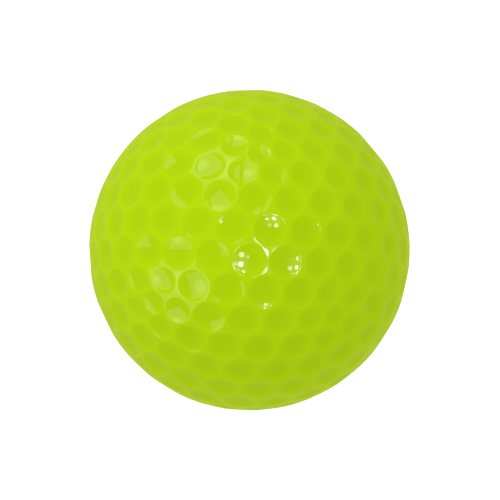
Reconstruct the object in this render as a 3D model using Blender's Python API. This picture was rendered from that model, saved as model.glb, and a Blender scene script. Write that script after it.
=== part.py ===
"""Golf ball in three moulded layers: a rubber core, a mantle and a dimpled cover.

The ball is drawn in the frame of its mould, with the pole on +Z and the parting plane at
Z = 0, and then turned as a whole. The mantle and the cover are each a pair of half shells
that meet at the parting plane. Lengths are in metres, directions are unit vectors.
"""
import math

import bmesh
import bpy
import numpy as np
from mathutils import Euler

MM = 0.001

# Driving sizes.
BALL_RADIUS = 42.67 * MM / 2
COVER_THICKNESS = 1.5 * MM
MANTLE_THICKNESS = 1.2 * MM
LAYER_GAP = 0.3 * MM
PARTING_GAP = 0.2 * MM

# Each layer starts where the one outside it ends, less the gap.
COVER_INNER_RADIUS = BALL_RADIUS - COVER_THICKNESS
MANTLE_OUTER_RADIUS = COVER_INNER_RADIUS - LAYER_GAP
MANTLE_INNER_RADIUS = MANTLE_OUTER_RADIUS - MANTLE_THICKNESS
CORE_RADIUS = MANTLE_INNER_RADIUS - LAYER_GAP

# How the mould lies in the world: spun about its pole, then the pole tipped and headed.
MOULD_SPIN = math.radians(-64.9)
POLE_TILT = math.radians(98.8)
POLE_HEADING = math.radians(-125.6)

# Dimple layout: the lattice of an icosahedron, less the row that would sit on the parting plane.
# The shares are the dimples' relative sizes at none, one, two and more steps from a corner.
LATTICE_STEPS = 6
NEIGHBOUR_REACH = 1.5
PARTING_ROW_LATITUDE = math.radians(4.0)
FIRST_ROW_LATITUDE = math.radians(8.9)
ROWS_CLOSE_UP_BY = math.radians(4.2)
HEMISPHERE_STAGGER = math.radians(6.0)
CLEAR_OF_PARTING = math.radians(5.8)
DIMPLE_SHARES = (0.77, 0.87, 0.98, 1.0)
RELAX_STEPS = 200
RELAX_RATE = 0.25

# Dimple shape: a shallow spherical bowl whose wall drops from the land at the rim angle.
LAND_WIDTH = 0.14 * MM
RIM_ANGLE = math.radians(10.0)
RIM_POINTS = 9
BOWL_RING_SHARE = 0.6

# Facets of the plain surfaces.
SEAM_POINTS = 60
COVER_LINING_RINGS = 18
MANTLE_POINTS = 40
MANTLE_RINGS = 16
CORE_SUBDIVISIONS = 4

SMOOTH_BELOW = math.radians(40.0)
NEARLY_UPRIGHT = 0.999
MERGE_DISTANCE = 0.001 * MM


def clear_scene():
    """Remove every object of the scene that Blender opens with."""
    for obj in list(bpy.data.objects):
        bpy.data.objects.remove(obj, do_unlink=True)


def plain_material(name, colour, roughness, metallic=0.0):
    """A Principled material of one colour."""
    made = bpy.data.materials.new(name)
    made.use_nodes = True
    shader = made.node_tree.nodes["Principled BSDF"]
    shader.inputs["Base Color"].default_value = (*colour, 1.0)
    shader.inputs["Roughness"].default_value = roughness
    shader.inputs["Metallic"].default_value = metallic
    made.diffuse_color = (*colour, 1.0)
    return made


def unit(vectors):
    """Each row of an array, scaled to length one."""
    return vectors / np.linalg.norm(vectors, axis=-1, keepdims=True)


def on_sphere(longitude, latitude):
    """Unit vectors at these angles."""
    flat = np.cos(latitude)
    return np.stack([flat * np.cos(longitude), flat * np.sin(longitude), np.sin(latitude)], axis=-1)


def icosahedron_corners():
    """Twelve unit vectors: a pole, two staggered rings of five, and the other pole."""
    ring = np.arange(5) * math.tau / 5
    ring_latitude = math.atan(0.5)
    upper = on_sphere(ring, np.full(5, ring_latitude))
    lower = on_sphere(ring + math.tau / 10, np.full(5, -ring_latitude))
    return np.vstack([[0.0, 0.0, 1.0], upper, lower, [0.0, 0.0, -1.0]])


def icosahedron_faces(corners):
    """Every three corners that are all neighbours of each other."""
    edge = np.linalg.norm(corners[0] - corners[1])
    apart = np.linalg.norm(corners[:, None] - corners[None], axis=2)
    joined = np.isclose(apart, edge, rtol=0.01)
    count = len(corners)
    return [
        (a, b, c)
        for a in range(count)
        for b in range(a + 1, count)
        for c in range(b + 1, count)
        if joined[a, b] and joined[b, c] and joined[a, c]
    ]


def lattice_points():
    """The corners of an icosahedron, and an even triangular grid over each of its faces."""
    corners = icosahedron_corners()
    arc = math.acos(float(corners[0] @ corners[1]))
    points = []
    for face in icosahedron_faces(corners):
        for i in range(LATTICE_STEPS + 1):
            for j in range(LATTICE_STEPS + 1 - i):
                k = LATTICE_STEPS - i - j
                weights = np.sin(np.array([i, j, k]) / LATTICE_STEPS * arc)
                points.append(weights @ corners[list(face)])
    points = unit(np.array(points))
    return points[np.unique(points.round(6), axis=0, return_index=True)[1]]


def without_parting_row(points):
    """The points off the parting plane, drawn in to it, the lower half turned by half a pitch."""
    latitude = np.arcsin(np.clip(points[:, 2], -1.0, 1.0))
    longitude = np.arctan2(points[:, 1], points[:, 0])
    kept = np.abs(latitude) > PARTING_ROW_LATITUDE
    latitude, longitude = latitude[kept], longitude[kept]
    height = np.abs(latitude)
    rise = (height - FIRST_ROW_LATITUDE) / (math.pi / 2 - FIRST_ROW_LATITUDE)
    drawn_in = np.sign(latitude) * (height - ROWS_CLOSE_UP_BY * (1.0 - rise))
    turned = longitude + np.where(latitude < 0.0, HEMISPHERE_STAGGER, 0.0)
    return on_sphere(turned, drawn_in)


def neighbour_pairs(points):
    """Index pairs of the points that are next to each other, by the mean pitch."""
    pitch = math.sqrt(4.0 * math.pi / len(points))
    apart = np.linalg.norm(points[:, None] - points[None], axis=2)
    return np.argwhere(np.triu(apart < NEIGHBOUR_REACH * pitch, k=1))


def corner_steps(count, pairs):
    """How many neighbours away each point is from the nearest corner, which has only five."""
    neighbours = [[] for _ in range(count)]
    for a, b in pairs:
        neighbours[a].append(b)
        neighbours[b].append(a)
    steps = np.array([0 if len(near) == 5 else count for near in neighbours])
    for reached in range(len(DIMPLE_SHARES)):
        for point in np.flatnonzero(steps == reached):
            for near in neighbours[point]:
                steps[near] = min(steps[near], reached + 1)
    return steps


def relaxed(points, pairs, shares):
    """The points after springs have spaced them by their shares, clear of the parting plane."""
    low, high = pairs.T
    wanted = shares[low] + shares[high]
    side = np.sign(points[:, 2])
    least_height = math.sin(CLEAR_OF_PARTING)
    for _ in range(RELAX_STEPS):
        between = points[low] - points[high]
        length = np.linalg.norm(between, axis=1)
        pitch = length.sum() / wanted.sum()
        push = between * ((wanted * pitch / length) - 1.0)[:, None]
        moved = np.zeros_like(points)
        np.add.at(moved, low, push)
        np.add.at(moved, high, -push)
        points = unit(points + RELAX_RATE * moved)
        points[:, 2] = side * np.maximum(np.abs(points[:, 2]), least_height)
        points = unit(points)
    return points


def mouth_angles(points, pairs, shares):
    """The half angle of each dimple that leaves the land between it and all that is next to it."""
    low, high = pairs.T
    apart = 2.0 * np.arcsin(np.linalg.norm(points[low] - points[high], axis=1) / 2.0)
    room = np.full(len(points), math.pi)
    np.minimum.at(room, low, apart * shares[low] / (shares[low] + shares[high]))
    np.minimum.at(room, high, apart * shares[high] / (shares[low] + shares[high]))
    to_parting = np.arcsin(np.abs(points[:, 2])) - PARTING_GAP / 2 / BALL_RADIUS
    return np.minimum(room, to_parting) - LAND_WIDTH / 2 / BALL_RADIUS


def dimple_layout():
    """The direction and the half angle of every dimple of the ball."""
    points = without_parting_row(lattice_points())
    pairs = neighbour_pairs(points)
    steps = np.minimum(corner_steps(len(points), pairs), len(DIMPLE_SHARES) - 1)
    shares = np.array(DIMPLE_SHARES)[steps]
    points = relaxed(points, pairs, shares)
    return points, mouth_angles(points, pairs, shares)


def ring_about(direction, radius, height, count):
    """Points of a circle about a direction, at this height along it."""
    reference = [0.0, 1.0, 0.0] if abs(direction[2]) > NEARLY_UPRIGHT else [0.0, 0.0, 1.0]
    across = unit(np.cross(reference, direction))
    along = np.cross(direction, across)
    angle = np.arange(count) * math.tau / count
    spread = np.outer(np.cos(angle), across) + np.outer(np.sin(angle), along)
    return direction * height + spread * radius


def add_points(mesh, points):
    """New vertices at these points."""
    return [mesh.verts.new(point) for point in points]


def join_rings(mesh, outer, inner):
    """A band of four-sided faces between two rings of as many vertices."""
    count = len(outer)
    for i in range(count):
        after = (i + 1) % count
        mesh.faces.new((outer[i], outer[after], inner[after], inner[i]))


def sink_bowl(mesh, rim, direction, mouth_angle):
    """Turn the opening inside a rim into a shallow spherical bowl."""
    mouth_radius = BALL_RADIUS * math.sin(mouth_angle)
    mouth_height = BALL_RADIUS * math.cos(mouth_angle)
    bowl_radius = mouth_radius / math.sin(RIM_ANGLE)
    centre_height = mouth_height + bowl_radius * math.cos(RIM_ANGLE)
    ring_radius = mouth_radius * BOWL_RING_SHARE
    ring_height = centre_height - math.sqrt(bowl_radius**2 - ring_radius**2)
    ring = add_points(mesh, ring_about(direction, ring_radius, ring_height, RIM_POINTS))
    join_rings(mesh, rim, ring)
    bottom = mesh.verts.new(direction * (centre_height - bowl_radius))
    for i in range(RIM_POINTS):
        mesh.faces.new((ring[i], ring[(i + 1) % RIM_POINTS], bottom))


def add_plain_dome(mesh, radius, points, rings):
    """A smooth dome above the parting plane. Returns its edge ring, in order of longitude."""
    made = bmesh.ops.create_uvsphere(mesh, u_segments=points, v_segments=rings, radius=radius)
    edges = {edge for vert in made["verts"] for edge in vert.link_edges}
    faces = {face for vert in made["verts"] for face in vert.link_faces}
    cut = bmesh.ops.bisect_plane(
        mesh,
        geom=[*made["verts"], *edges, *faces],
        dist=MERGE_DISTANCE,
        plane_co=(0.0, 0.0, PARTING_GAP / 2),
        plane_no=(0.0, 0.0, 1.0),
        clear_inner=True,
    )
    ring = [item for item in cut["geom_cut"] if isinstance(item, bmesh.types.BMVert)]
    return sorted(ring, key=lambda vert: math.atan2(vert.co.y, vert.co.x))


def close_parting(mesh, outer, inner):
    """Join the edge rings of the outer and the inner dome with a flat face."""
    join_rings(mesh, outer, inner)
    bmesh.ops.recalc_face_normals(mesh, faces=mesh.faces[:])
    bmesh.ops.triangulate(mesh, faces=mesh.faces[:])


def dimpled_dome(mesh, points, angles):
    """The outside of a half cover: a hull over all the rims, with a bowl sunk inside each one.

    Returns its edge ring at the parting plane, in order of longitude.
    """
    height = PARTING_GAP / 2
    seam_radius = math.sqrt(BALL_RADIUS**2 - height**2)
    seam = add_points(mesh, ring_about(np.array([0.0, 0.0, 1.0]), seam_radius, height, SEAM_POINTS))
    rims = []
    for direction, angle in zip(points, angles):
        radius, rise = BALL_RADIUS * math.sin(angle), BALL_RADIUS * math.cos(angle)
        rims.append(add_points(mesh, ring_about(direction, radius, rise, RIM_POINTS)))
    bmesh.ops.convex_hull(mesh, input=mesh.verts[:])
    loops = [set(seam), *map(set, rims)]
    loop_of = {vert: loop for loop in loops for vert in loop}
    covers = [face for face in mesh.faces if set(face.verts) <= loop_of[face.verts[0]]]
    bmesh.ops.delete(mesh, geom=covers, context="FACES")
    for rim, direction, angle in zip(rims, points, angles):
        sink_bowl(mesh, rim, direction, angle)
    return sorted(seam, key=lambda vert: math.atan2(vert.co.y, vert.co.x))


def object_from(name, mesh, material, parent, upside_down):
    """An object of this mesh in the frame of the mould, on its lower side if upside down."""
    if upside_down:
        bmesh.ops.scale(mesh, vec=(1.0, 1.0, -1.0), verts=mesh.verts[:])
        bmesh.ops.reverse_faces(mesh, faces=mesh.faces[:])
    data = bpy.data.meshes.new(name)
    mesh.to_mesh(data)
    mesh.free()
    data.shade_smooth()
    data.set_sharp_from_angle(angle=SMOOTH_BELOW)
    data.materials.append(material)
    obj = bpy.data.objects.new(name, data)
    bpy.context.scene.collection.objects.link(obj)
    obj.parent = parent
    return obj


def cover_half(name, side, layout, material, parent):
    """A half shell of the cover, with the dimples of its side of the parting plane."""
    points, angles = layout
    chosen = points[:, 2] * side > 0.0
    upright = points[chosen] * [1.0, 1.0, side]
    mesh = bmesh.new()
    outer = dimpled_dome(mesh, upright, angles[chosen])
    inner = add_plain_dome(mesh, COVER_INNER_RADIUS, SEAM_POINTS, COVER_LINING_RINGS)
    close_parting(mesh, outer, inner)
    return object_from(name, mesh, material, parent, upside_down=side < 0)


def mantle_half(name, side, material, parent):
    """A plain half shell between the core and the cover."""
    mesh = bmesh.new()
    outer = add_plain_dome(mesh, MANTLE_OUTER_RADIUS, MANTLE_POINTS, MANTLE_RINGS)
    inner = add_plain_dome(mesh, MANTLE_INNER_RADIUS, MANTLE_POINTS, MANTLE_RINGS)
    close_parting(mesh, outer, inner)
    return object_from(name, mesh, material, parent, upside_down=side < 0)


def core(name, material, parent):
    """The solid centre of the ball."""
    mesh = bmesh.new()
    bmesh.ops.create_icosphere(mesh, subdivisions=CORE_SUBDIVISIONS, radius=CORE_RADIUS)
    return object_from(name, mesh, material, parent, upside_down=False)


def mould_frame():
    """An empty that carries the mould's frame, turned to how the ball lies."""
    frame = bpy.data.objects.new("mould_frame", None)
    bpy.context.scene.collection.objects.link(frame)
    spin = Euler((0.0, 0.0, MOULD_SPIN)).to_matrix()
    tilt = Euler((0.0, POLE_TILT, 0.0)).to_matrix()
    heading = Euler((0.0, 0.0, POLE_HEADING)).to_matrix()
    frame.rotation_mode = "QUATERNION"
    frame.rotation_quaternion = (heading @ tilt @ spin).to_quaternion()
    return frame


def main():
    """Build the ball from the outside in."""
    clear_scene()
    cover_material = plain_material("cover_ionomer", (0.50, 0.74, 0.001), 0.22)
    mantle_material = plain_material("mantle_ionomer", (0.80, 0.82, 0.76), 0.40)
    core_material = plain_material("core_rubber", (0.03, 0.22, 0.30), 0.75)
    frame = mould_frame()
    layout = dimple_layout()
    for side, place in ((1, "front"), (-1, "rear")):
        cover_half(f"cover_half_{place}", side, layout, cover_material, frame)
        mantle_half(f"mantle_half_{place}", side, mantle_material, frame)
    core("core", core_material, frame)


main()
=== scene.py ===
"""Golf ball: the looks of a three-layer ball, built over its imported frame.

The cover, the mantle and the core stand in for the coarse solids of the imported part. The cover
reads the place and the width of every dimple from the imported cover, splits the sphere into one
cell for each, and sinks the dimples with a geometry node tree. Lengths are in metres.
"""

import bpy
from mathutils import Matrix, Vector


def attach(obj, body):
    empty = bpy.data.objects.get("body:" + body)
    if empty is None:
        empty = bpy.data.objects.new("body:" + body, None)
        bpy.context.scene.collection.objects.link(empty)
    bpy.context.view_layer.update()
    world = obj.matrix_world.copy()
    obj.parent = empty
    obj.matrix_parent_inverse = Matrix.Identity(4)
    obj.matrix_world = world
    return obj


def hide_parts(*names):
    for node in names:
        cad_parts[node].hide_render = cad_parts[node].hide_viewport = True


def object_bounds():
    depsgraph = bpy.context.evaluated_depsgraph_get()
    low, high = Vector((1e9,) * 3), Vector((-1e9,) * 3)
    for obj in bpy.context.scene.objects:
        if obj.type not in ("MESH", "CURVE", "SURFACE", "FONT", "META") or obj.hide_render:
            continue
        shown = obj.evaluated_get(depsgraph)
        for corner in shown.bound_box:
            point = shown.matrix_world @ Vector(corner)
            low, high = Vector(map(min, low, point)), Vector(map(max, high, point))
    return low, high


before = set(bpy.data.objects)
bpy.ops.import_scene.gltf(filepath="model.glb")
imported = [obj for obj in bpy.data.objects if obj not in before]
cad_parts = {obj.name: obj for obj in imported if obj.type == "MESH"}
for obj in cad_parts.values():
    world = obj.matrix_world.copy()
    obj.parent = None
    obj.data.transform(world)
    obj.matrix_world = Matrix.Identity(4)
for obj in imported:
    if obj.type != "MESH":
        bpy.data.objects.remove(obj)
PACKED_BOX = [list(corner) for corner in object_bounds()]

import logging
import math
from dataclasses import dataclass, field
from enum import Enum

import bmesh
import bpy
import numpy as np
from mathutils import Matrix, Vector

MM = 0.001
MERGE_WITHIN = 0.0005 * MM
WELD_WITHIN = 0.001 * MM
SHARP_ANGLE = math.radians(45.0)
UP = Vector((0.0, 0.0, 1.0))
WHITE = (1.0, 1.0, 1.0)
BLACK = (0.0, 0.0, 0.0)
BODY = "root"
LOG = logging.getLogger("golf_ball")

Socket = bpy.types.NodeSocket
Feed = Socket | float | tuple | str
Colour = tuple[float, float, float]
Bearing = tuple[float, float]  # degrees right and up from the line towards the viewer


class Side(Enum):
    """The two sides of the parting plane, by where they face."""

    FRONT = "front"
    REAR = "rear"


class Layer(Enum):
    """The layers of the ball, named as the record names their material slots."""

    COVER = "cover"
    MANTLE = "mantle"
    CORE = "core"


def unit(vectors: np.ndarray) -> np.ndarray:
    """Scale each row to length one."""
    return vectors / np.linalg.norm(vectors, axis=-1, keepdims=True)


def object_from(name: str, data: bpy.types.ID) -> bpy.types.Object:
    """Put a mesh, a lamp or a camera into the scene.

    Args:
        name: The new object's name.
        data: What it shows.

    Returns:
        The object, at the origin.
    """
    obj = bpy.data.objects.new(name, data)
    bpy.context.scene.collection.objects.link(obj)
    return obj


def mesh_from(name: str, work: bmesh.types.BMesh) -> bpy.types.Mesh:
    """Turn a mesh that is being edited into a finished one, and free it.

    Args:
        name: The finished mesh's name.
        work: The mesh that is being edited.

    Returns:
        The finished mesh.
    """
    mesh = bpy.data.meshes.new(name)
    work.to_mesh(mesh)
    work.free()
    return mesh


def settle(piece: bpy.types.Object, node: str) -> None:
    """Hand a finished piece over to the frame.

    Args:
        piece: The piece.
        node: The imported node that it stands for.
    """
    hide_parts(node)
    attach(piece, BODY)


class TreeBuilder:
    """Adds nodes to one node tree and joins them up."""

    def __init__(self, tree: bpy.types.NodeTree) -> None:
        """Take the tree to add to."""
        self.tree = tree

    def declare(self, kind: str, *names: str, in_out: str = "INPUT") -> None:
        """Give the tree some inputs or outputs.

        Args:
            kind: Their socket type, without the common prefix.
            names: Their names.
            in_out: Whether they go in or out.
        """
        for name in names:
            self.tree.interface.new_socket(name, in_out=in_out, socket_type="NodeSocket" + kind)

    def feed(self, socket: Socket, value: Feed) -> None:
        """Join a socket to another one, or set it to a value.

        Args:
            socket: The input to feed.
            value: Another socket, or a value.
        """
        if isinstance(value, Socket):
            self.tree.links.new(value, socket)
        else:
            socket.default_value = value

    def add(
        self, kind: str, feeds: dict[str | int, Feed] | None = None, **settings: object
    ) -> bpy.types.Node:
        """Add a node.

        Args:
            kind: The node's type.
            feeds: What goes into its inputs, by name or by place.
            settings: Its other properties.

        Returns:
            The node.
        """
        node = self.tree.nodes.new(kind)
        for name, value in settings.items():
            setattr(node, name, value)
        for name, value in (feeds or {}).items():
            self.feed(node.inputs[name], value)
        return node

    def math(self, operation: str, *values: Feed, clamp: bool = False) -> Socket:
        """Add a sum on numbers and return its result."""
        feeds = dict(enumerate(values))
        return self.add("ShaderNodeMath", feeds, operation=operation, use_clamp=clamp).outputs[0]

    def sum_of_products(self, a: Feed, b: Feed, c: Feed, d: Feed) -> Socket:
        """Add a times b plus c times d and return it."""
        return self.math("MULTIPLY_ADD", a, b, self.math("MULTIPLY", c, d))

    def vector(self, operation: str, *values: Feed) -> Socket:
        """Add a sum on vectors and return its result: a number for a dot product or a length."""
        node = self.add("ShaderNodeVectorMath", dict(enumerate(values)), operation=operation)
        return node.outputs["Value" if operation in ("DOT_PRODUCT", "LENGTH") else "Vector"]

    def scaled(self, vector: Feed, factor: Feed) -> Socket:
        """Add a vector times a number and return it."""
        node = self.add("ShaderNodeVectorMath", {0: vector, "Scale": factor}, operation="SCALE")
        return node.outputs["Vector"]

    def remapped(
        self, value: Feed, low: Feed, high: Feed, to_low: Feed = 0.0, to_high: Feed = 1.0
    ) -> Socket:
        """Add a smooth step of a value from one range to another and return it.

        Args:
            value: The value to map.
            low: Where the step starts.
            high: Where the step ends.
            to_low: The result at the start.
            to_high: The result at the end.

        Returns:
            The mapped value.
        """
        feeds = {"Value": value, "From Min": low, "From Max": high}
        feeds |= {"To Min": to_low, "To Max": to_high}
        node = self.add("ShaderNodeMapRange", feeds, interpolation_type="SMOOTHSTEP")
        return node.outputs["Result"]

    def mixed(self, share: Feed, first: Feed, second: Feed, blend: str = "MIX") -> Socket:
        """Add a mix of two colours and return it.

        Args:
            share: How much of the second colour to take.
            first: The first colour.
            second: The second colour.
            blend: How the second is laid over the first.

        Returns:
            The mixed colour.
        """
        node = self.add("ShaderNodeMix", {"Factor": share}, data_type="RGBA", blend_type=blend)
        in_use = {socket.name: socket for socket in node.inputs if socket.enabled}
        self.feed(in_use["A"], first)
        self.feed(in_use["B"], second)
        return next(socket for socket in node.outputs if socket.enabled)

    def move(self, drawn: bpy.types.Node, place: Socket) -> Socket:
        """Move the top of what an extrusion has drawn out to a new place, and return it all."""
        feeds = {"Geometry": drawn.outputs["Mesh"], "Selection": drawn.outputs["Top"]}
        return self.add("GeometryNodeSetPosition", feeds | {"Position": place}).outputs[0]


@dataclass(frozen=True)
class MouldTree:
    """Base of the geometry node trees that shape the ball's shells."""

    name: str

    def started(self) -> TreeBuilder:
        """Make an empty modifier tree with a geometry input and output."""
        tree = bpy.data.node_groups.new(self.name, "GeometryNodeTree")
        tree.is_modifier = True
        build = TreeBuilder(tree)
        build.declare("Geometry", "Geometry", in_out="OUTPUT")
        build.declare("Geometry", "Geometry")
        build.declare("Material", "Finish")
        return build

    def ended(self, build: TreeBuilder, geometry: Socket, finish: Socket) -> bpy.types.NodeTree:
        """Close a tree with points merged, smooth faces, sharp edges at corners, and its material.

        Args:
            build: The tree's builder.
            geometry: The shaped geometry.
            finish: The material to set.

        Returns:
            The finished tree.
        """
        feeds = {"Geometry": geometry, "Distance": MERGE_WITHIN}
        merged = build.add("GeometryNodeMergeByDistance", feeds).outputs[0]
        smooth = build.add("GeometryNodeSetShadeSmooth", {"Geometry": merged}, domain="FACE")
        angle = build.add("GeometryNodeInputMeshEdgeAngle").outputs["Unsigned Angle"]
        corner = build.math("GREATER_THAN", angle, SHARP_ANGLE)
        sharp = build.add(
            "GeometryNodeSetShadeSmooth",
            {"Geometry": smooth.outputs[0], "Selection": corner, "Shade Smooth": False},
            domain="EDGE",
        )
        real = build.add("GeometryNodeRealizeInstances", {"Geometry": sharp.outputs[0]})
        feeds = {"Geometry": real.outputs[0], "Material": finish}
        dressed = build.add("GeometryNodeSetMaterial", feeds)
        build.add("NodeGroupOutput", {"Geometry": dressed.outputs[0]})
        return build.tree


@dataclass(frozen=True)
class DimpleTree(MouldTree):
    """Sinks a dimple into every cell of a shell.

    Each face of the shell carries the axis and the mouth angle of its dimple. The face is drawn in
    ring by ring: to the mouth, round the rim, down a short steep wall and along a spherical bowl.
    """

    rim_rings: int = 3
    bowl_rings: int = 4

    def built(self) -> bpy.types.NodeTree:
        """Build the tree and return it."""
        build = self.started()
        build.declare("Float", "Ball Radius", "Rim Radius")
        build.declare("Float", "Wall Angle", "Wall Width", "Bowl Angle")
        given = build.add("NodeGroupInput").outputs
        ball, rim = given["Ball Radius"], given["Rim Radius"]
        wall, slope = given["Wall Angle"], given["Bowl Angle"]
        axis = self.attribute(build, "dimple_axis", "FLOAT_VECTOR")
        mouth = self.attribute(build, "mouth_angle", "FLOAT")
        turn = build.math("ADD", mouth, wall)

        def on_rim(tilt: Feed) -> tuple[Socket, Socket]:
            """Radius and height of the point of the rim with this tilt."""
            reach = build.math("SUBTRACT", ball, rim)
            return tuple(
                build.sum_of_products(reach, build.math(part, mouth), rim, build.math(part, tilt))
                for part in ("SINE", "COSINE")
            )

        edge = on_rim(build.math("MULTIPLY", wall, -1.0))
        foot = []
        for start, part in zip(edge, ("COSINE", "SINE")):
            step = build.math("MULTIPLY", given["Wall Width"], build.math(part, wall))
            foot.append(build.math("SUBTRACT", start, step))
        bowl = build.math("DIVIDE", foot[0], build.math("SINE", slope))
        rise = build.math("MULTIPLY", bowl, build.math("COSINE", slope))
        centre = build.math("ADD", foot[1], rise)

        def in_bowl(share: float) -> tuple[Socket, Socket]:
            """Radius and height of the ring at this share of the bowl angle."""
            tilt = build.math("MULTIPLY", slope, share)
            across = build.math("MULTIPLY", bowl, build.math("SINE", tilt))
            drop = build.math("MULTIPLY", bowl, build.math("COSINE", tilt))
            return across, build.math("SUBTRACT", centre, drop)

        shares = [k / self.rim_rings for k in range(self.rim_rings + 1)]
        rings = [on_rim(build.math("MULTIPLY_ADD", turn, -share, mouth)) for share in shares]
        rings += [in_bowl(1.0 - k / self.bowl_rings) for k in range(self.bowl_rings + 1)]
        geometry, top = given["Geometry"], True
        for across, along in rings:
            geometry, top = self.drawn_in(build, geometry, top, axis, across, along)
        return self.ended(build, geometry, given["Finish"])

    @staticmethod
    def attribute(build: TreeBuilder, name: str, kind: str) -> Socket:
        """Read a named attribute of the shell.

        Args:
            build: The tree's builder.
            name: The attribute's name.
            kind: Its data type.

        Returns:
            Its value.
        """
        node = build.add("GeometryNodeInputNamedAttribute", {"Name": name}, data_type=kind)
        in_use = {socket.name: socket for socket in node.outputs if socket.enabled}
        return in_use["Attribute"]

    @staticmethod
    def drawn_in(
        build: TreeBuilder,
        geometry: Socket,
        top: Feed,
        axis: Socket,
        across: Socket,
        along: Socket,
    ) -> tuple[Socket, Socket]:
        """Draw the top faces in to a ring about their axis.

        Args:
            build: The tree's builder.
            geometry: The shell so far.
            top: Which faces to draw in.
            axis: The axis of each face's dimple.
            across: The ring's radius.
            along: The ring's height along the axis.

        Returns:
            The shell, and which of its faces are now the top ones.
        """
        feeds = {"Mesh": geometry, "Selection": top, "Offset Scale": 0.0, "Individual": True}
        drawn = build.add("GeometryNodeExtrudeMesh", feeds, mode="FACES")
        place = build.add("GeometryNodeInputPosition").outputs[0]
        on_axis = build.scaled(axis, build.vector("DOT_PRODUCT", place, axis))
        outward = build.vector("NORMALIZE", build.vector("SUBTRACT", place, on_axis))
        moved = build.vector("ADD", build.scaled(axis, along), build.scaled(outward, across))
        return build.move(drawn, moved), drawn.outputs["Top"]


@dataclass(frozen=True)
class LiningTree(MouldTree):
    """Gives an open dome a flat edge and a smooth lining, which closes it into a half shell."""

    rings: int = 14
    nearly: float = 0.5  # two counts of faces closer than this are the same

    def built(self) -> bpy.types.NodeTree:
        """Build the tree and return it."""
        build = self.started()
        build.declare("Float", "Inner Radius", "Parting Height")
        given = build.add("NodeGroupInput").outputs
        inner, parting = given["Inner Radius"], given["Parting Height"]
        faces = build.add("GeometryNodeInputMeshEdgeNeighbors").outputs["Face Count"]
        geometry = given["Geometry"]
        top = build.math("COMPARE", faces, 1.0, self.nearly)
        place = build.add("GeometryNodeInputPosition").outputs[0]
        outward = build.vector("NORMALIZE", build.vector("MULTIPLY", place, (1.0, 1.0, 0.0)))
        below = build.math("MULTIPLY", parting, -1.0)
        reach = build.math("SQRT", build.sum_of_products(inner, inner, below, parting))
        room = build.math("SUBTRACT", inner, parting)
        places = []
        for ring in range(self.rings):
            latitude = math.pi / 2 * ring / self.rings
            height = build.math("MULTIPLY_ADD", room, math.sin(latitude), parting)
            edge = build.scaled(outward, build.math("MULTIPLY", reach, math.cos(latitude)))
            lift = build.add("ShaderNodeCombineXYZ", {"Z": height}).outputs[0]
            places.append(build.vector("ADD", edge, lift))
        places.append(build.add("ShaderNodeCombineXYZ", {"Z": inner}).outputs[0])
        for goal in places:
            feeds = {"Mesh": geometry, "Selection": top, "Offset Scale": 0.0}
            drawn = build.add("GeometryNodeExtrudeMesh", feeds, mode="EDGES")
            geometry, top = build.move(drawn, goal), drawn.outputs["Top"]
        return self.ended(build, geometry, given["Finish"])


@dataclass
class DimpleMap:
    """The dimples of one half of the cover, in a frame whose +Z is that half's pole.

    Args:
        node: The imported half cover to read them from.
        deepest: How far below the sphere a dimple may reach.
        wider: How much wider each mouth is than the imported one, which takes up most of the land.
    """

    node: str
    deepest: float = 0.6 * MM
    wider: float = 0.12 * MM
    ball_radius: float = field(init=False)
    turn: Matrix = field(init=False)
    axes: np.ndarray = field(init=False)
    mouths: np.ndarray = field(init=False)

    def __post_init__(self) -> None:
        """Find the bottom of every bowl, and the rim around it."""
        packed = bmesh.new()
        packed.from_mesh(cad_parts[self.node].data)
        bmesh.ops.remove_doubles(packed, verts=packed.verts, dist=WELD_WITHIN)
        self.ball_radius = max(vert.co.length for vert in packed.verts)
        bottoms = [vert for vert in packed.verts if self.is_bottom(vert)]
        axes = unit(np.array([vert.co for vert in bottoms]))
        self.turn = UP.rotation_difference(Vector(axes.sum(axis=0)).normalized()).to_matrix()
        self.axes = axes @ np.array(self.turn)
        self.mouths = np.array([self.mouth_about(vert) for vert in bottoms])
        packed.free()

    @staticmethod
    def around(vert: bmesh.types.BMVert) -> list[bmesh.types.BMVert]:
        """The vertices that share an edge with this one."""
        return [edge.other_vert(vert) for edge in vert.link_edges]

    def is_bottom(self, vert: bmesh.types.BMVert) -> bool:
        """Whether this vertex of the outside lies lower than all those around it.

        Args:
            vert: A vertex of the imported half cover.

        Returns:
            True at the bottom of a dimple.
        """
        low = vert.co.length
        lowest = all(near.co.length > low for near in self.around(vert))
        return low > self.ball_radius - self.deepest and lowest

    def mouth_about(self, bottom: bmesh.types.BMVert) -> float:
        """The half angle of the rim that lies two steps out from a bowl's bottom.

        Args:
            bottom: The vertex at the bottom of the bowl.

        Returns:
            The angle, widened as the visual model's mouths are.
        """
        on_sphere = self.ball_radius - WELD_WITHIN
        ring = self.around(bottom)
        rim = {far for near in ring for far in self.around(near) if far.co.length > on_sphere}
        packed_mouth = np.mean([bottom.co.angle(vert.co) for vert in rim])
        return float(packed_mouth) + self.wider / (2.0 * self.ball_radius)


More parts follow.
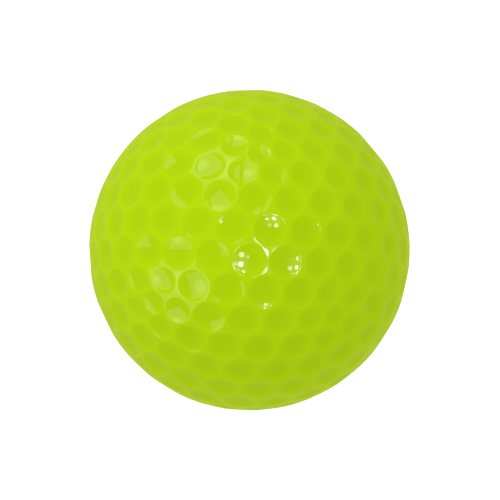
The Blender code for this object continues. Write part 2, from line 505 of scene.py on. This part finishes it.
@dataclass(frozen=True)
class CellNet:
    """Splits half of the sphere into one cell for each dimple, with the parting plane as its edge.

    The border between two cells runs where both mouths are as far away as each other.
    """

    dimples: DimpleMap
    parting_height: float
    side_steps: int = 4
    same_direction_digits: int = 5
    any_direction: tuple[float, float, float] = (0.6, -0.8, 0.1)
    weld_within: float = 0.0002 * MM

    def corners(self) -> list[np.ndarray]:
        """Find the corners of each cell, in order round its dimple, as unit vectors."""
        tips = self.dimples.axes / np.cos(self.dimples.mouths)[:, None]
        hull = bmesh.new()
        verts = [hull.verts.new(tip) for tip in tips]
        for tip in tips:
            hull.verts.new(tip * [1.0, 1.0, -1.0])
        bmesh.ops.convex_hull(hull, input=hull.verts[:])
        hull.normal_update()
        pairs = zip(self.dimples.axes, verts)
        found = [self.in_order(axis, self.normals(vert)) for axis, vert in pairs]
        hull.free()
        return found

    def normals(self, vert: bmesh.types.BMVert) -> np.ndarray:
        """The outward normals of the faces round a vertex, each direction once.

        Args:
            vert: The vertex.

        Returns:
            One unit vector to a row.
        """
        normals = [face.normal for face in vert.link_faces]
        outward = np.array([normal * math.copysign(1.0, normal @ vert.co) for normal in normals])
        rounded = outward.round(self.same_direction_digits)
        return outward[np.unique(rounded, axis=0, return_index=True)[1]]

    def in_order(self, axis: np.ndarray, points: np.ndarray) -> np.ndarray:
        """The points sorted anticlockwise round an axis.

        Args:
            axis: The axis, as a unit vector.
            points: The points, one to a row.

        Returns:
            The same points, in order.
        """
        across = unit(np.cross(axis, self.any_direction))
        angle = np.arctan2(points @ np.cross(axis, across), points @ across)
        return points[np.argsort(angle)]

    def outline(self, corners: np.ndarray) -> np.ndarray:
        """Divide the sides of a cell evenly, and lift its edge off the parting plane.

        Args:
            corners: The cell's corners, as unit vectors.

        Returns:
            The points of its outline, on the sphere.
        """
        share = np.arange(self.side_steps)[None, :, None] / self.side_steps
        ends = np.roll(corners, -1, axis=0)
        points = unit((corners[:, None] * (1.0 - share) + ends[:, None] * share).reshape(-1, 3))
        points = points * self.dimples.ball_radius
        low = points[:, 2] < self.parting_height
        reach = math.sqrt(self.dimples.ball_radius**2 - self.parting_height**2)
        points[low, :2] = unit(points[low, :2]) * reach
        points[low, 2] = self.parting_height
        return points

    def mesh(self, name: str) -> bpy.types.Mesh:
        """Make the net, each of its faces carrying its dimple's axis and mouth angle.

        Args:
            name: The mesh's name.

        Returns:
            The net.
        """
        work = bmesh.new()
        axis_layer = work.faces.layers.float_vector.new("dimple_axis")
        mouth_layer = work.faces.layers.float.new("mouth_angle")
        cells = zip(self.corners(), self.dimples.axes, self.dimples.mouths)
        for corners, axis, mouth in cells:
            face = work.faces.new([work.verts.new(point) for point in self.outline(corners)])
            face[axis_layer] = Vector(axis)
            face[mouth_layer] = mouth
        bmesh.ops.remove_doubles(work, verts=work.verts, dist=self.weld_within)
        return mesh_from(name, work)


@dataclass(frozen=True)
class Mould:
    """Runs geometry node trees over a starting mesh and turns the result into a plain piece."""

    sizes: dict[str, float]

    def press(
        self,
        name: str,
        start: bpy.types.Mesh,
        trees: list[bpy.types.NodeTree],
        finish: bpy.types.Material,
        turn: Matrix,
    ) -> bpy.types.Object:
        """Shape one piece.

        Args:
            name: The piece's name.
            start: The mesh that the trees start from.
            trees: The trees, in order.
            finish: The piece's material.
            turn: How the piece's own frame is turned in the world.

        Returns:
            The finished piece, at the origin, with its place in its mesh.
        """
        draft = object_from(name + "_draft", start)
        for tree in trees:
            modifier = draft.modifiers.new(tree.name, "NODES")
            modifier.node_group = tree
            for item in tree.interface.items_tree:
                if item.in_out == "INPUT" and item.name in self.sizes:
                    modifier[item.identifier] = self.sizes[item.name]
                elif item.in_out == "INPUT" and item.name == "Finish":
                    modifier[item.identifier] = finish
        shaped = draft.evaluated_get(bpy.context.evaluated_depsgraph_get())
        mesh = bpy.data.meshes.new_from_object(shaped)
        bpy.data.objects.remove(draft, do_unlink=True)
        mesh.name = name
        self.face_outwards(mesh)
        mesh.transform(turn.to_4x4())
        return object_from(name, mesh)

    @staticmethod
    def face_outwards(mesh: bpy.types.Mesh) -> None:
        """Turn every face of a closed mesh outwards.

        Args:
            mesh: The mesh, changed in place.
        """
        work = bmesh.new()
        work.from_mesh(mesh)
        bmesh.ops.recalc_face_normals(work, faces=work.faces[:])
        work.to_mesh(mesh)
        work.free()


@dataclass(frozen=True)
class SharedEffects:
    """Shader node groups that more than one material uses."""

    drift: bpy.types.NodeTree
    specks: bpy.types.NodeTree
    grain: bpy.types.NodeTree
    # the mask of the painted shade that darkens the dimples with depth
    painted_hollow_shade: bpy.types.NodeTree

    @classmethod
    def built(cls) -> "SharedEffects":
        """Build every group once."""
        return cls(cls.drift_group(), cls.speck_group(), cls.grain_group(), cls.painted_hollow_shade_group())

    @staticmethod
    def drift_group() -> bpy.types.NodeTree:
        """A slow change from one colour to another, as pigment drifts in a moulded part."""
        build = TreeBuilder(bpy.data.node_groups.new("pigment_drift", "ShaderNodeTree"))
        build.declare("Vector", "Vector")
        build.declare("Color", "Colour", "Drifted Colour")
        build.declare("Float", "Scale", "Amount", "Detail", "Low", "High")
        build.declare("Color", "Colour", in_out="OUTPUT")
        given = build.add("NodeGroupInput").outputs
        feeds = {name: given[name] for name in ("Vector", "Scale", "Detail")}
        noise = build.add("ShaderNodeTexNoise", feeds).outputs["Fac"]
        spread = build.remapped(noise, given["Low"], given["High"])
        share = build.math("MULTIPLY", spread, given["Amount"])
        mixed = build.mixed(share, given["Colour"], given["Drifted Colour"])
        build.add("NodeGroupOutput", {"Colour": mixed})
        return build.tree

    @staticmethod
    def speck_group() -> bpy.types.NodeTree:
        """A mask of small scattered specks, a share of them left out at random."""
        build = TreeBuilder(bpy.data.node_groups.new("specks", "ShaderNodeTree"))
        build.declare("Vector", "Vector")
        build.declare("Float", "Scale", "Size", "Share")
        build.declare("Float", "Mask", in_out="OUTPUT")
        given = build.add("NodeGroupInput").outputs
        feeds = {name: given[name] for name in ("Vector", "Scale")}
        cells = build.add("ShaderNodeTexVoronoi", feeds)
        chance = build.add("ShaderNodeSeparateColor", {"Color": cells.outputs["Color"]}).outputs[0]
        fading = build.remapped(chance, 0.0, given["Share"], 1.0, 0.0)
        size = build.math("MULTIPLY", given["Size"], fading)
        inner = build.math("MULTIPLY", size, 0.5)
        mask = build.remapped(cells.outputs["Distance"], inner, size, 1.0, 0.0)
        chosen = build.math("LESS_THAN", chance, given["Share"])
        build.add("NodeGroupOutput", {"Mask": build.math("MULTIPLY", mask, chosen)})
        return build.tree

    @staticmethod
    def painted_hollow_shade_group() -> bpy.types.NodeTree:
        """A mask that grows with the depth below a sphere round the origin, for the painted shade
        in the hollows.
        """
        build = TreeBuilder(bpy.data.node_groups.new("painted_hollow_shade", "ShaderNodeTree"))
        build.declare("Vector", "Vector")
        build.declare("Float", "Radius", "Depth")
        build.declare("Float", "Mask", in_out="OUTPUT")
        given = build.add("NodeGroupInput").outputs
        below = build.math("SUBTRACT", given["Radius"], build.vector("LENGTH", given["Vector"]))
        mask = build.math("DIVIDE", below, given["Depth"], clamp=True)
        build.add("NodeGroupOutput", {"Mask": mask})
        return build.tree

    @staticmethod
    def grain_group() -> bpy.types.NodeTree:
        """A height in metres: the slow waves and the fine grain of a moulded surface."""
        build = TreeBuilder(bpy.data.node_groups.new("moulded_grain", "ShaderNodeTree"))
        build.declare("Vector", "Vector")
        for effect in ("Wave", "Grain"):
            build.declare("Float", *(f"{effect} {part}" for part in ("Scale", "Detail", "Height")))
        build.declare("Float", "Height", in_out="OUTPUT")
        given = build.add("NodeGroupInput").outputs
        heights = []
        for effect in ("Wave", "Grain"):
            feeds = {part: given[f"{effect} {part}"] for part in ("Scale", "Detail")}
            noise = build.add("ShaderNodeTexNoise", feeds | {"Vector": given["Vector"]})
            height = build.math("MULTIPLY", noise.outputs["Fac"], given[effect + " Height"])
            heights.append(height)
        build.add("NodeGroupOutput", {"Height": build.math("ADD", *heights)})
        return build.tree


@dataclass(frozen=True)
class Finish:
    """How one layer looks."""

    name: str
    colour: Colour
    drifted_colour: Colour
    speck_colour: Colour
    roughness: float
    rougher_by: float
    specular_level: float = 0.5
    coat_weight: float = 0.0
    coat_roughness: float = 0.03
    subsurface_weight: float = 0.0
    subsurface_radius: Colour = (1.0, 1.0, 0.2)
    subsurface_scale: float = 0.6 * MM
    # painted shade: the colour is multiplied by this tint with depth below the sphere, fully at
    # the given depth
    painted_hollow_shade_tint: Colour = WHITE
    painted_hollow_shade_radius: float = 21.335 * MM
    painted_hollow_shade_depth: float = 0.3 * MM
    drift_scale: float = 120.0
    drift_amount: float = 1.0
    drift_detail: float = 3.0
    drift_low: float = 0.3
    drift_high: float = 0.7
    speck_scale: float = 900.0
    speck_size: float = 0.12
    speck_share: float = 0.04
    wave_scale: float = 250.0
    wave_detail: float = 1.0
    wave_height: float = 0.004 * MM
    grain_scale: float = 4000.0
    grain_detail: float = 2.0
    grain_height: float = 0.0006 * MM

    def made(self, effects: SharedEffects) -> bpy.types.Material:
        """Build the material.

        Args:
            effects: The node groups to place in it.

        Returns:
            The material.
        """
        material = bpy.data.materials.new(self.name)
        material.use_nodes = True
        material.diffuse_color = (*self.colour, 1.0)
        build = TreeBuilder(material.node_tree)
        shader = material.node_tree.nodes["Principled BSDF"]
        place = build.add("ShaderNodeTexCoord").outputs["Object"]
        colour, specks = self.coloured(build, effects, place)
        feeds = {
            "Vector": place,
            "Wave Scale": self.wave_scale,
            "Wave Detail": self.wave_detail,
            "Wave Height": self.wave_height,
            "Grain Scale": self.grain_scale,
            "Grain Detail": self.grain_detail,
            "Grain Height": self.grain_height,
        }
        height = build.add("ShaderNodeGroup", feeds, node_tree=effects.grain).outputs["Height"]
        feeds = {"Height": height, "Distance": 1.0, "Strength": 1.0}
        bump = build.add("ShaderNodeBump", feeds).outputs["Normal"]
        feeds = {
            "Base Color": colour,
            "Roughness": build.math("MULTIPLY_ADD", specks, self.rougher_by, self.roughness),
            "Normal": bump,
            "Specular IOR Level": self.specular_level,
            "Coat Weight": self.coat_weight,
            "Coat Roughness": self.coat_roughness,
            "Subsurface Weight": self.subsurface_weight,
            "Subsurface Radius": self.subsurface_radius,
            "Subsurface Scale": self.subsurface_scale,
        }
        for name, value in feeds.items():
            build.feed(shader.inputs[name], value)
        return material

    def coloured(
        self, build: TreeBuilder, effects: SharedEffects, place: Socket
    ) -> tuple[Socket, Socket]:
        """Lay the drifting pigment, a painted shade that darkens the colour with depth in the
        hollows, and the specks.

        Args:
            build: The material's builder.
            effects: The node groups to place in it.
            place: The coordinates of the surface.

        Returns:
            The colour and the mask of the specks.
        """
        feeds = {
            "Vector": place,
            "Colour": (*self.colour, 1.0),
            "Drifted Colour": (*self.drifted_colour, 1.0),
            "Scale": self.drift_scale,
            "Amount": self.drift_amount,
            "Detail": self.drift_detail,
            "Low": self.drift_low,
            "High": self.drift_high,
        }
        drifting = build.add("ShaderNodeGroup", feeds, node_tree=effects.drift).outputs["Colour"]
        feeds = {
            "Vector": place,
            "Scale": self.speck_scale,
            "Size": self.speck_size,
            "Share": self.speck_share,
        }
        specks = build.add("ShaderNodeGroup", feeds, node_tree=effects.specks).outputs["Mask"]
        feeds = {"Vector": place, "Radius": self.painted_hollow_shade_radius, "Depth": self.painted_hollow_shade_depth}
        painted_hollow_shade = build.add("ShaderNodeGroup", feeds, node_tree=effects.painted_hollow_shade).outputs["Mask"]
        # painted shade: the colour is multiplied darker with depth in the dimples
        tint = (*self.painted_hollow_shade_tint, 1.0)
        shaded = build.mixed(painted_hollow_shade, drifting, tint, blend="MULTIPLY")
        return build.mixed(specks, shaded, (*self.speck_colour, 1.0)), specks


FINISHES = {
    Layer.COVER: Finish(
        name="lime_cover",
        colour=(0.480, 0.716, 0.0),
        drifted_colour=(0.470, 0.701, 0.0),
        speck_colour=(0.40, 0.60, 0.01),
        roughness=0.45,
        rougher_by=0.2,
        specular_level=0.0,
        coat_weight=1.0,
        coat_roughness=0.02,
        grain_height=0.00015 * MM,
        # painted shade: darker towards the bottom of each dimple
        painted_hollow_shade_tint=(0.92, 0.935, 0.5),
    ),
    Layer.MANTLE: Finish(
        name="pale_mantle",
        colour=(0.80, 0.82, 0.76),
        drifted_colour=(0.74, 0.77, 0.70),
        speck_colour=(0.55, 0.56, 0.50),
        roughness=0.42,
        rougher_by=0.2,
        subsurface_weight=0.2,
    ),
    Layer.CORE: Finish(
        name="rubber_core",
        colour=(0.03, 0.22, 0.30),
        drifted_colour=(0.02, 0.17, 0.25),
        speck_colour=(0.20, 0.38, 0.42),
        roughness=0.75,
        rougher_by=0.1,
        speck_share=0.2,
        grain_height=0.004 * MM,
    ),
}


@dataclass(frozen=True)
class Cover:
    """The dimpled outer layer, as the two half shells it is moulded from."""

    finish: bpy.types.Material
    thickness: float = 1.5 * MM
    parting_height: float = 0.004 * MM
    rim_radius: float = 0.7 * MM
    wall_angle: float = math.radians(16.0)
    wall_width: float = 0.03 * MM
    bowl_angle: float = math.radians(10.0)

    def build(self) -> None:
        """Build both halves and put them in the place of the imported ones."""
        dimple_tree = DimpleTree("sink_dimples").built()
        lining_tree = LiningTree("line_half_shell").built()
        for side in Side:
            node = f"cover_half_{side.value}"
            dimples = DimpleMap(node)
            sizes = {
                "Ball Radius": dimples.ball_radius,
                "Rim Radius": self.rim_radius,
                "Wall Angle": self.wall_angle,
                "Wall Width": self.wall_width,
                "Bowl Angle": self.bowl_angle,
                "Inner Radius": dimples.ball_radius - self.thickness,
                "Parting Height": self.parting_height,
            }
            net = CellNet(dimples, self.parting_height).mesh(node + "_net")
            trees = [dimple_tree, lining_tree]
            piece = Mould(sizes).press(node + "_piece", net, trees, self.finish, dimples.turn)
            settle(piece, node)
            counts = (len(dimples.axes), len(piece.data.polygons))
            LOG.info("%s: %d dimples, %d faces", piece.name, *counts)


@dataclass(frozen=True)
class Mantle:
    """The plain layer under the cover, as two half shells."""

    finish: bpy.types.Material
    parting_height: float = 0.1 * MM
    around: int = 96
    rings: int = 48

    def build(self) -> None:
        """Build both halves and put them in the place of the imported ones."""
        lining_tree = LiningTree("line_mantle_half").built()
        for side in Side:
            node = f"mantle_half_{side.value}"
            lengths = [vert.co.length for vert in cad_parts[node].data.vertices]
            turn = DimpleMap(f"cover_half_{side.value}").turn
            sizes = {"Inner Radius": min(lengths), "Parting Height": self.parting_height}
            dome = self.dome(node + "_dome", max(lengths))
            piece = Mould(sizes).press(node + "_piece", dome, [lining_tree], self.finish, turn)
            settle(piece, node)
            LOG.info("%s: %d faces", piece.name, len(piece.data.polygons))

    def dome(self, name: str, radius: float) -> bpy.types.Mesh:
        """Make the outside of a half, open at the parting plane.

        Args:
            name: The mesh's name.
            radius: The dome's radius.

        Returns:
            The open dome.
        """
        work = bmesh.new()
        bmesh.ops.create_uvsphere(
            work, u_segments=self.around, v_segments=self.rings, radius=radius
        )
        bmesh.ops.bisect_plane(
            work,
            geom=[*work.verts, *work.edges, *work.faces],
            dist=WELD_WITHIN,
            plane_co=UP * self.parting_height,
            plane_no=UP,
            clear_inner=True,
        )
        return mesh_from(name, work)


@dataclass(frozen=True)
class Core:
    """The solid rubber centre."""

    finish: bpy.types.Material
    subdivisions: int = 6

    def build(self) -> None:
        """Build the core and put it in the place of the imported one."""
        radius = max(vert.co.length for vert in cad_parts["core"].data.vertices)
        work = bmesh.new()
        bmesh.ops.create_icosphere(work, subdivisions=self.subdivisions, radius=radius)
        mesh = mesh_from("core_piece", work)
        mesh.shade_smooth()
        mesh.materials.append(self.finish)
        piece = object_from("core_piece", mesh)
        settle(piece, "core")
        LOG.info("%s: %d faces", piece.name, len(piece.data.polygons))


@dataclass(frozen=True)
class Viewpoint:
    """Where the ball is seen from."""

    elevation: float = math.radians(12.0)
    distance_in_radii: float = 19.2
    radius_in_frame: float = 0.3206
    centre_left_of_middle: float = 0.0012
    sensor: float = 36.0
    nearest: float = 0.01
    farthest: float = 20.0

    def axes(self) -> Matrix:
        """The viewer's right, up and backward directions, as the columns of a matrix."""
        lift, level = math.sin(self.elevation), math.cos(self.elevation)
        return Matrix(((1.0, 0.0, 0.0), (0.0, lift, -level), (0.0, level, lift)))

    def towards(self, bearing: Bearing) -> Vector:
        """The direction from the ball at this bearing.

        Args:
            bearing: Degrees right and up from the line towards the viewer.

        Returns:
            A unit vector.
        """
        across, up = (math.radians(part) for part in bearing)
        swing = math.hypot(across, up)
        level = Vector((across, up, 0.0)) * (math.sin(swing) / swing)
        return self.axes() @ (level + Vector((0.0, 0.0, math.cos(swing))))

    def place(self, ball_radius: float) -> None:
        """Add the camera and make it the scene's.

        Args:
            ball_radius: The radius of the ball at the origin.
        """
        camera = bpy.data.cameras.new("camera")
        camera.sensor_width = self.sensor
        tangent_length = math.sqrt(self.distance_in_radii**2 - 1.0)
        camera.lens = self.sensor * self.radius_in_frame * tangent_length
        camera.shift_x = self.centre_left_of_middle
        camera.clip_start, camera.clip_end = self.nearest, self.farthest
        obj = object_from("camera", camera)
        axes = self.axes()
        obj.location = axes.col[2] * self.distance_in_radii * ball_radius
        obj.rotation_euler = axes.to_euler()
        bpy.context.scene.camera = obj


@dataclass(frozen=True)
class Fill:
    """A soft lamp that lights the ball but leaves no reflection on it."""

    name: str
    bearing: Bearing
    half_angle: float
    radiance: float
    distance: float = 0.6

    def light(self, viewpoint: Viewpoint) -> None:
        """Add the lamp, facing the ball.

        Args:
            viewpoint: Where the ball is seen from.
        """
        lamp = bpy.data.lights.new(self.name, "AREA")
        lamp.shape = "SQUARE"
        lamp.size = 2.0 * self.distance * math.tan(self.half_angle)
        lamp.energy = self.radiance * math.pi * lamp.size**2
        obj = object_from(self.name, lamp)
        towards = viewpoint.towards(self.bearing)
        obj.location = towards * self.distance
        obj.rotation_euler = towards.to_track_quat("Z", "Y").to_euler()
        obj.visible_camera = False
        obj.visible_glossy = False


@dataclass(frozen=True)
class Panel:
    """A flat lamp that is only seen mirrored in the ball, brighter about its bulb."""

    name: str
    corners: tuple[Bearing, ...]
    radiance: float
    bulb: Bearing = (0.0, 1.0)
    bulb_radiance: float = 0.0
    bulb_reach: float = math.radians(11.0)
    distance: float = 0.6
    colour: Colour = (1.0, 1.0, 0.6)

    def light(self, viewpoint: Viewpoint) -> None:
        """Add the lamp as a glowing face.

        Args:
            viewpoint: Where the ball is seen from.
        """
        corners = [viewpoint.towards(corner) * self.distance for corner in self.corners]
        mesh = bpy.data.meshes.new(self.name)
        mesh.from_pydata(corners, [], [range(len(corners))])
        mesh.materials.append(self.glow(viewpoint.towards(self.bulb)))
        obj = object_from(self.name, mesh)
        obj.visible_camera = False
        obj.visible_diffuse = False
        obj.visible_shadow = False

    def glow(self, bulb: Vector) -> bpy.types.Material:
        """Make the lamp's material.

        Args:
            bulb: The direction from the ball to the bulb behind the panel.

        Returns:
            The material.
        """
        material = bpy.data.materials.new(self.name)
        material.use_nodes = True
        build = TreeBuilder(material.node_tree)
        shader = material.node_tree.nodes["Principled BSDF"]
        place = build.add("ShaderNodeTexCoord").outputs["Object"]
        near = build.vector("DOT_PRODUCT", build.vector("NORMALIZE", place), tuple(bulb))
        share = build.remapped(near, math.cos(self.bulb_reach), 1.0)
        strength = build.math("MULTIPLY_ADD", share, self.bulb_radiance, self.radiance)
        build.feed(shader.inputs["Emission Strength"], strength)
        shader.inputs["Emission Color"].default_value = (*self.colour, 1.0)
        shader.inputs["Base Color"].default_value = (*BLACK, 1.0)
        shader.inputs["Specular IOR Level"].default_value = 0.0
        return material


@dataclass(frozen=True)
class Spot:
    """A small round lamp, as it is seen mirrored in the ball."""

    bearing: Bearing
    reach: float
    radiance: float


@dataclass(frozen=True)
class SpotCluster:
    """A faint glow with small bright spots in front of it."""

    name: str
    glow: Panel
    spots: tuple[Spot, ...]
    spot_corners: int = 8
    closer_by: float = 0.05

    def light(self, viewpoint: Viewpoint) -> None:
        """Add the glow and its spots.

        Args:
            viewpoint: Where the ball is seen from.
        """
        self.glow.light(viewpoint)
        turns = [2.0 * math.pi * k / self.spot_corners for k in range(self.spot_corners)]
        distance = self.glow.distance - self.closer_by
        for i, spot in enumerate(self.spots):
            right, up = spot.bearing
            corners = tuple(
                (right + spot.reach * math.cos(turn), up + spot.reach * math.sin(turn))
                for turn in turns
            )
            name = f"{self.name}_{i}"
            Panel(name, corners, spot.radiance, distance=distance, colour=WHITE).light(viewpoint)


@dataclass(frozen=True)
class Studio:
    """The pale floor, the soft light round the ball and the lamps."""

    viewpoint: Viewpoint
    lamps: tuple[Fill | Panel | SpotCluster, ...]
    floor_size: float = 12.0
    floor_tone: float = 0.3
    floor_glow: float = 1.0
    ambient: float = 0.755
    backdrop: float = 1.05
    mirrored_tint: Colour = (0.70, 0.85, 0.13)

    def build(self, ball_radius: float) -> None:
        """Set up the whole studio round a ball of this radius at the origin.

        Args:
            ball_radius: The ball's radius.
        """
        self.floor(-ball_radius)
        self.surroundings()
        for lamp in self.lamps:
            lamp.light(self.viewpoint)
        bpy.context.scene.view_settings.view_transform = "Standard"

    def floor(self, height: float) -> None:
        """Lay the floor at this height.

        Args:
            height: The floor's height.
        """
        work = bmesh.new()
        bmesh.ops.create_grid(work, x_segments=1, y_segments=1, size=self.floor_size / 2)
        bmesh.ops.translate(work, vec=UP * height, verts=work.verts[:])
        mesh = mesh_from("floor", work)
        material = bpy.data.materials.new("pale_floor")
        material.use_nodes = True
        shader = material.node_tree.nodes["Principled BSDF"]
        shader.inputs["Base Color"].default_value = (*[self.floor_tone] * 3, 1.0)
        shader.inputs["Roughness"].default_value = 1.0
        shader.inputs["Specular IOR Level"].default_value = 0.0
        shader.inputs["Emission Color"].default_value = (*WHITE, 1.0)
        shader.inputs["Emission Strength"].default_value = self.floor_glow
        mesh.materials.append(material)
        obj = object_from("floor", mesh)
        obj.visible_diffuse = False
        obj.visible_glossy = False
        obj.visible_shadow = False

    def surroundings(self) -> None:
        """Light from all round, which the ball mirrors in a tint, as if off tinted walls."""
        world = bpy.data.worlds.new("surroundings")
        bpy.context.scene.world = world
        world.use_nodes = True
        build = TreeBuilder(world.node_tree)
        background = world.node_tree.nodes["Background"]
        path = build.add("ShaderNodeLightPath").outputs
        seen, glossy = path["Is Camera Ray"], path["Is Glossy Ray"]
        strength = build.math("MULTIPLY_ADD", seen, self.backdrop - self.ambient, self.ambient)
        tint = build.mixed(glossy, (*WHITE, 1.0), (*self.mirrored_tint, 1.0))
        build.feed(background.inputs["Color"], tint)
        build.feed(background.inputs["Strength"], strength)


LAMPS = (
    Fill("upper_fill", bearing=(-30, 30), half_angle=math.radians(35.0), radiance=0.73),
    Panel(
        "upper_panel",
        corners=((-49, 63), (-21, 30), (-9, 41), (-7, 79), (-19, 80)),
        radiance=1.4,
        bulb=(-17, 59),
        bulb_radiance=1.7,
    ),
    Panel("upper_panel_edge", corners=((-4, 44), (6, 50), (7, 62), (-2, 76)), radiance=1.4),
    Panel(
        "lower_panel",
        corners=((-77, -7), (-55, -50), (-29, -40), (-36, -6)),
        radiance=1.4,
        bulb=(-48, -23),
        bulb_radiance=1.7,
    ),
    SpotCluster(
        "front_spot",
        glow=Panel("front_glow", corners=((3, 10), (0, -17), (22, -14), (20, 9)), radiance=1.1),
        spots=(
            Spot(bearing=(10.0, -2.0), reach=3.5, radiance=18.0),
            Spot(bearing=(19.5, -1.5), reach=2.9, radiance=8.0),
            Spot(bearing=(7.5, 7.5), reach=2.9, radiance=9.0),
            Spot(bearing=(9.0, -13.5), reach=3.4, radiance=9.0),
            Spot(bearing=(15.5, 7.0), reach=2.0, radiance=5.0),
            Spot(bearing=(1.5, -10.5), reach=1.8, radiance=5.0),
        ),
    ),
)


def main() -> None:
    """Build the ball from the inside out, then the studio."""
    logging.basicConfig(level=logging.INFO, format="%(name)s: %(message)s")
    effects = SharedEffects.built()
    finishes = {layer: finish.made(effects) for layer, finish in FINISHES.items()}
    Core(finishes[Layer.CORE]).build()
    Mantle(finishes[Layer.MANTLE]).build()
    Cover(finishes[Layer.COVER]).build()
    ball_radius = PACKED_BOX[1][2]
    viewpoint = Viewpoint()
    viewpoint.place(ball_radius)
    Studio(viewpoint, LAMPS).build(ball_radius)


if __name__ == "__main__":
    main()
